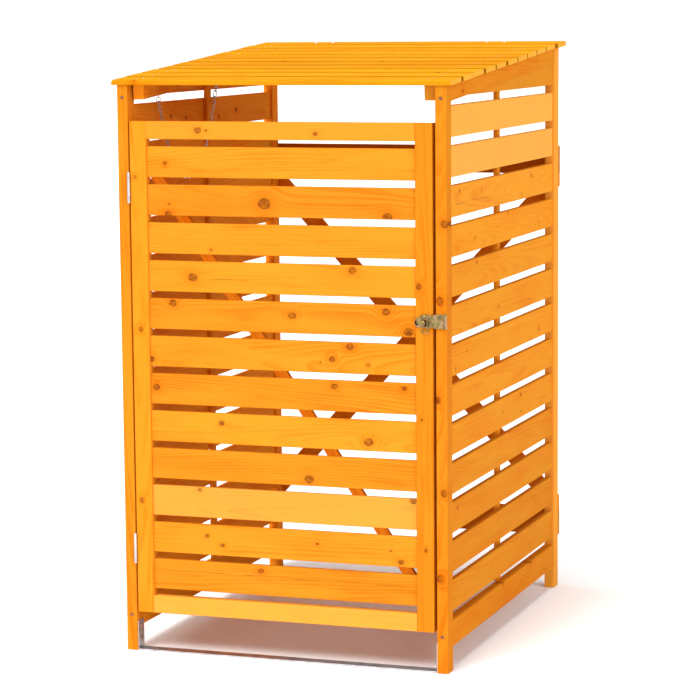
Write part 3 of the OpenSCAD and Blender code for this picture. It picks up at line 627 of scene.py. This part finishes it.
def metalware(node, body, slot, ease):
    """A CAD node of sheet metal with its hard edges rounded a little."""
    bm = bmesh.new()
    bm.from_mesh(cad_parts[node].data)
    bmesh.ops.remove_doubles(bm, verts=bm.verts, dist=0.00001)
    bmesh.ops.dissolve_limit(bm, angle_limit=math.radians(0.6), verts=bm.verts, edges=bm.edges)
    bm.normal_update()
    sharp = [e for e in bm.edges if len(e.link_faces) == 2 and e.calc_face_angle(0) > math.radians(40)]
    bmesh.ops.bevel(bm, geom=sharp, offset=ease, segments=1, affect="EDGES", clamp_overlap=True)
    mesh = bpy.data.meshes.new(node + "_plate")
    bm.to_mesh(mesh)
    bm.free()
    mesh.materials.append(MATERIALS[slot])
    piece = bpy.data.objects.new(node + "_plate", mesh)
    bpy.context.scene.collection.objects.link(piece)
    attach(piece, body)
    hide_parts(node)


metalware("threshold_strip", "frame", "zinc_steel", 0.0004)
# material, slot, and the CAD nodes that keep their own shape
CAD_FINISHES = (
    ("zinc_steel", "zinc_steel", (
        "door_hinge_post_leaves", "door_hinge_pins", "lid_hinge_frame_leaves", "lid_hinge_pins",
        "door_hinge_door_leaves", "lid_hinge_lid_leaves", "lid_rear_screws", "chain_eyes", "chain")),
    ("plated_steel", "plated_steel", (
        "hasp_post_leaf", "hasp_pin", "staple_plate", "hasp_staple", "hasp_strap", "hasp_ring")),
    ("screw_bronze", "plated_steel", ("frame_screws",)),
    ("dark_steel", "dark_steel", ("staple_bolt",)),
)
for finish, slot, names in CAD_FINISHES:
    for name in names:
        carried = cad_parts[name]
        carried.data.materials.clear()
        carried.data.materials.append(MATERIALS[finish])

# ---------------------------------------------------------------------------------------------------
# panel pins: small domed heads where boards cross what they are nailed to


def pin_tree():
    """Heads of panel pins on the vertices of a mesh, which carries the way out of the wood as facing."""
    tree = bpy.data.node_groups.new("panel_pins", "GeometryNodeTree")
    tree.interface.new_socket("Geometry", in_out="INPUT", socket_type="NodeSocketGeometry")
    for label, kind in (("Head radius", "NodeSocketFloat"), ("Seed", "NodeSocketInt"),
                        ("Material", "NodeSocketMaterial")):
        tree.interface.new_socket(label, in_out="INPUT", socket_type=kind)
    tree.interface.new_socket("Geometry", in_out="OUTPUT", socket_type="NodeSocketGeometry")
    s = Shade(tree)
    given, result = s.node("NodeGroupInput").outputs, s.node("NodeGroupOutput").inputs
    head = s.node("GeometryNodeMeshCone", {
        "Vertices": 10, "Radius Bottom": given["Head radius"],
        "Radius Top": s.math("MULTIPLY", given["Head radius"], 0.7),
        "Depth": s.math("MULTIPLY", given["Head radius"], 0.25)})
    facing = s.node("GeometryNodeInputNamedAttribute", {"Name": "facing"}, data_type="FLOAT_VECTOR")
    turn = s.node("FunctionNodeAlignRotationToVector", {"Vector": facing.outputs["Attribute"]}, axis="Z")
    spread = s.node("FunctionNodeRandomValue", {2: 0.85, 3: 1.15, "Seed": given["Seed"]}, data_type="FLOAT")
    placed = s.node("GeometryNodeInstanceOnPoints", {
        "Points": given["Geometry"], "Instance": head.outputs["Mesh"],
        "Rotation": turn.outputs["Rotation"], "Scale": spread.outputs[1]})
    solid = s.node("GeometryNodeRealizeInstances", {"Geometry": placed.outputs["Instances"]})
    finished = s.node("GeometryNodeSetMaterial", {
        "Geometry": solid.outputs["Geometry"], "Material": given["Material"]})
    s.put(result["Geometry"], finished.outputs["Geometry"])
    return tree


PIN_TREE = pin_tree()


PIN_HEAD_RADIUS = 0.0013


def drive_pins(name, body, places, seed):
    """One piece of pin heads. places is a list of points on the wood and the way out of it there."""
    mesh = bpy.data.meshes.new(name + "_points")
    mesh.from_pydata([point[:] for point, _ in places], [], [])
    layer = mesh.attributes.new("facing", "FLOAT_VECTOR", "POINT")
    layer.data.foreach_set("vector", [x for _, way in places for x in way])
    points = bpy.data.objects.new(name + "_points", mesh)
    bpy.context.scene.collection.objects.link(points)
    modifier = points.modifiers.new("pins", "NODES")
    modifier.node_group = PIN_TREE
    wanted = {"Head radius": PIN_HEAD_RADIUS, "Seed": seed, "Material": MATERIALS["zinc_steel"]}
    for socket in PIN_TREE.interface.items_tree:
        if socket.in_out == "INPUT" and socket.name in wanted:
            modifier[socket.identifier] = wanted[socket.name]
    graph = bpy.context.evaluated_depsgraph_get()
    heads = bpy.data.meshes.new_from_object(points.evaluated_get(graph), depsgraph=graph)
    heads.name = name
    points.modifiers.clear()
    bpy.data.objects.remove(points)
    piece = bpy.data.objects.new(name, heads)
    bpy.context.scene.collection.objects.link(piece)
    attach(piece, body)


def lid_pins():
    """Two pins through every roof board into each rafter."""
    places = []
    middles = [(box[0].x + box[1].x) / 2 for box in (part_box("lid_left_rafter"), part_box("lid_right_rafter"))]
    for board in lid_boards:
        way = board.out if board.out.z > 0 else -board.out
        top = board.high[2] if board.out.z > 0 else board.low[2]
        for x in middles:
            for share in (0.25, 0.75):
                across = board.low[1] + share * (board.high[1] - board.low[1])
                places.append((board.world((x, across, top)), way))
    return places


def batten_pins(side):
    """One pin through the upright batten into the middle of every side slat."""
    low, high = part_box(side + "_mid_batten")
    inner = (high.x, Vector((1, 0, 0))) if side == "left" else (low.x, Vector((-1, 0, 0)))
    places = []
    for board in side_boards[side]:
        height = board.world((board.middle(0), board.middle(1), board.middle(2))).z
        places.append((Vector((inner[0], (low.y + high.y) / 2, height)), inner[1]))
    return places


def brace_pins():
    """One pin through the door's brace into every slat that it crosses."""
    brace = brace_boards[0]
    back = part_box("door_brace")[1].y
    start = brace.world((brace.low[0], brace.middle(1), brace.middle(2)))
    end = brace.world((brace.high[0], brace.middle(1), brace.middle(2)))
    low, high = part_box("door_brace")
    places = []
    for slat in door_slats:
        height = slat.world((slat.middle(0), slat.middle(1), slat.middle(2))).z
        share = (height - start.z) / (end.z - start.z)
        if low.z + 0.03 < height < high.z - 0.03:
            places.append((Vector((start.x + share * (end.x - start.x), back, height)), Vector((0, 1, 0))))
    return places


drive_pins("lid_pins", "lid", lid_pins(), 3)
drive_pins("frame_pins", "frame", batten_pins("left") + batten_pins("right"), 5)
drive_pins("door_pins", "door", brace_pins(), 7)

# ---------------------------------------------------------------------------------------------------
# studio: a pale floor that fades into a bright background, and soft light from the front and above


def floor():
    bm = bmesh.new()
    bmesh.ops.create_grid(bm, x_segments=8, y_segments=8, size=40)
    mesh = bpy.data.meshes.new("floor")
    bm.to_mesh(mesh)
    bm.free()
    material = bpy.data.materials.new("floor_paper")
    material.use_nodes = True
    s = Shade(material.node_tree)
    surface = material.node_tree.nodes["Principled BSDF"]
    surface.inputs["Roughness"].default_value = 0.7
    surface.inputs["Specular IOR Level"].default_value = 0.2
    cloud = s.noise(s.node("ShaderNodeTexCoord").outputs["Object"], 1.5, 3.0)
    s.put(surface.inputs["Base Color"], s.mix(cloud, (0.94, 0.94, 0.94, 1), (0.91, 0.91, 0.91, 1)))
    mesh.materials.append(material)
    piece = bpy.data.objects.new("floor", mesh)
    piece.location.z = -0.0005  # just under the feet
    bpy.context.scene.collection.objects.link(piece)


def sun(name, turn, height, strength, spread):
    """Even light from a wide source: turn is clockwise seen from above, from straight in front, height is
    above the horizon, and spread is how wide the source looks, all in degrees."""
    data = bpy.data.lights.new(name, "SUN")
    data.energy = strength
    data.angle = math.radians(spread)
    lamp = bpy.data.objects.new(name, data)
    turn, height = math.radians(turn), math.radians(height)
    away = Vector((-math.sin(turn) * math.cos(height), -math.cos(turn) * math.cos(height), math.sin(height)))
    lamp.rotation_euler = away.to_track_quat("Z", "Y").to_euler()
    bpy.context.scene.collection.objects.link(lamp)


def studio():
    world = bpy.data.worlds.new("studio")
    world.use_nodes = True
    s = Shade(world.node_tree)
    backdrop = world.node_tree.nodes["Background"]
    seen = s.node("ShaderNodeBackground", {"Color": (1, 1, 1, 1), "Strength": 1.1})
    backdrop.inputs["Color"].default_value = (1, 1, 1, 1)
    backdrop.inputs["Strength"].default_value = 0.30
    ray = s.node("ShaderNodeLightPath").outputs["Is Camera Ray"]
    mixed = s.node("ShaderNodeMixShader", {0: ray, 1: backdrop.outputs[0], 2: seen.outputs[0]})
    s.put(world.node_tree.nodes["World Output"].inputs["Surface"], mixed.outputs[0])
    bpy.context.scene.world = world
    sun("key", turn=18, height=47, strength=1.92, spread=26)
    sun("right_fill", turn=-64, height=26, strength=1.27, spread=40)
    sun("left_window", turn=96, height=34, strength=0.7, spread=30)
    sun("low_front", turn=-34, height=13, strength=0.55, spread=14)
    sun("ceiling", turn=0, height=82, strength=2.1, spread=36)
    bpy.context.scene.view_settings.view_transform = "Standard"


floor()
studio()
